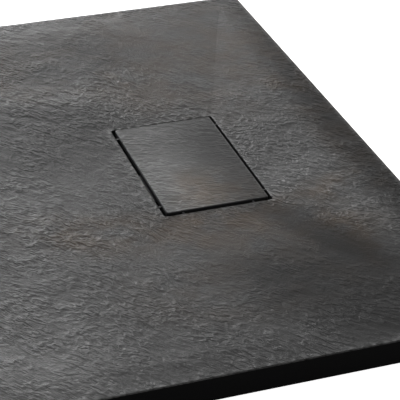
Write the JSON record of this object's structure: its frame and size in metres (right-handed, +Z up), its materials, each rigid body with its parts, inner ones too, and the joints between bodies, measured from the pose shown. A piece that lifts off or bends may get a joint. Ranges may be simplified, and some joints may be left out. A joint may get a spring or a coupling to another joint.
{
  "type": "shower tray",
  "caption": "Low rectangular shower tray with a slate-textured falling floor, a lift-out drain cover in the same finish, and a waste trap clamped below it",
  "frame": {"origin": "centre of the bedding face, the plane on which the side walls and the ribs stand", "axes": "X along the long side with the drain towards +X, Y from the open front to the wall behind, Z up"},
  "size_m": [1.2, 0.8, 0.136],
  "materials": {
    "slate_composite": "moulded slate relief, matt, anthracite",
    "cover_composite": "moulded slate relief, matt, anthracite",
    "pad_rubber": "black rubber",
    "seal_rubber": "black rubber",
    "flange_plastic": "light grey moulded plastic",
    "trap_plastic": "off-white moulded polypropylene",
    "nut_plastic": "off-white moulded polypropylene",
    "ring_plastic": "natural nylon",
    "pipe_plastic": "grey drain pipe",
    "insert_plastic": "blue-grey moulded plastic",
    "strainer_steel": "pressed stainless steel",
    "screw_steel": "stainless steel"
  },
  "bodies": {
    "tray": {"tray_shell": "slate_composite", "waste_flange": "flange_plastic", "flange_gasket": "seal_rubber", "trap_gasket": "seal_rubber", "flange_screw_1": "screw_steel", "flange_screw_2": "screw_steel", "flange_screw_3": "screw_steel", "flange_screw_4": "screw_steel", "trap_body": "trap_plastic", "outlet_seal": "seal_rubber", "outlet_slip_ring": "ring_plastic", "outlet_nut": "nut_plastic", "outlet_pipe": "pipe_plastic"},
    "cover": {"drain_cover": "cover_composite", "cover_pad_left_front": "pad_rubber", "cover_pad_left_back": "pad_rubber", "cover_pad_right_front": "pad_rubber", "cover_pad_right_back": "pad_rubber"},
    "strainer": {"hair_strainer": "strainer_steel"},
    "insert": {"trap_insert": "insert_plastic", "insert_seal": "seal_rubber"}
  },
  "joints": [
    {"name": "cover_lift", "type": "slide", "parent": "tray", "child": "cover", "axis": [0, 0, 1], "range_m": [0, 0.25]},
    {"name": "strainer_lift", "type": "slide", "parent": "tray", "child": "strainer", "axis": [0, 0, 1], "range_m": [0, 0.175]},
    {"name": "insert_lift", "type": "slide", "parent": "tray", "child": "insert", "axis": [0, 0, 1], "range_m": [0, 0.1125]}
  ],
  "couplings": [
    {"joint": "strainer_lift", "follows": "cover_lift", "ratio": 0.7},
    {"joint": "insert_lift", "follows": "cover_lift", "ratio": 0.45}
  ]
}
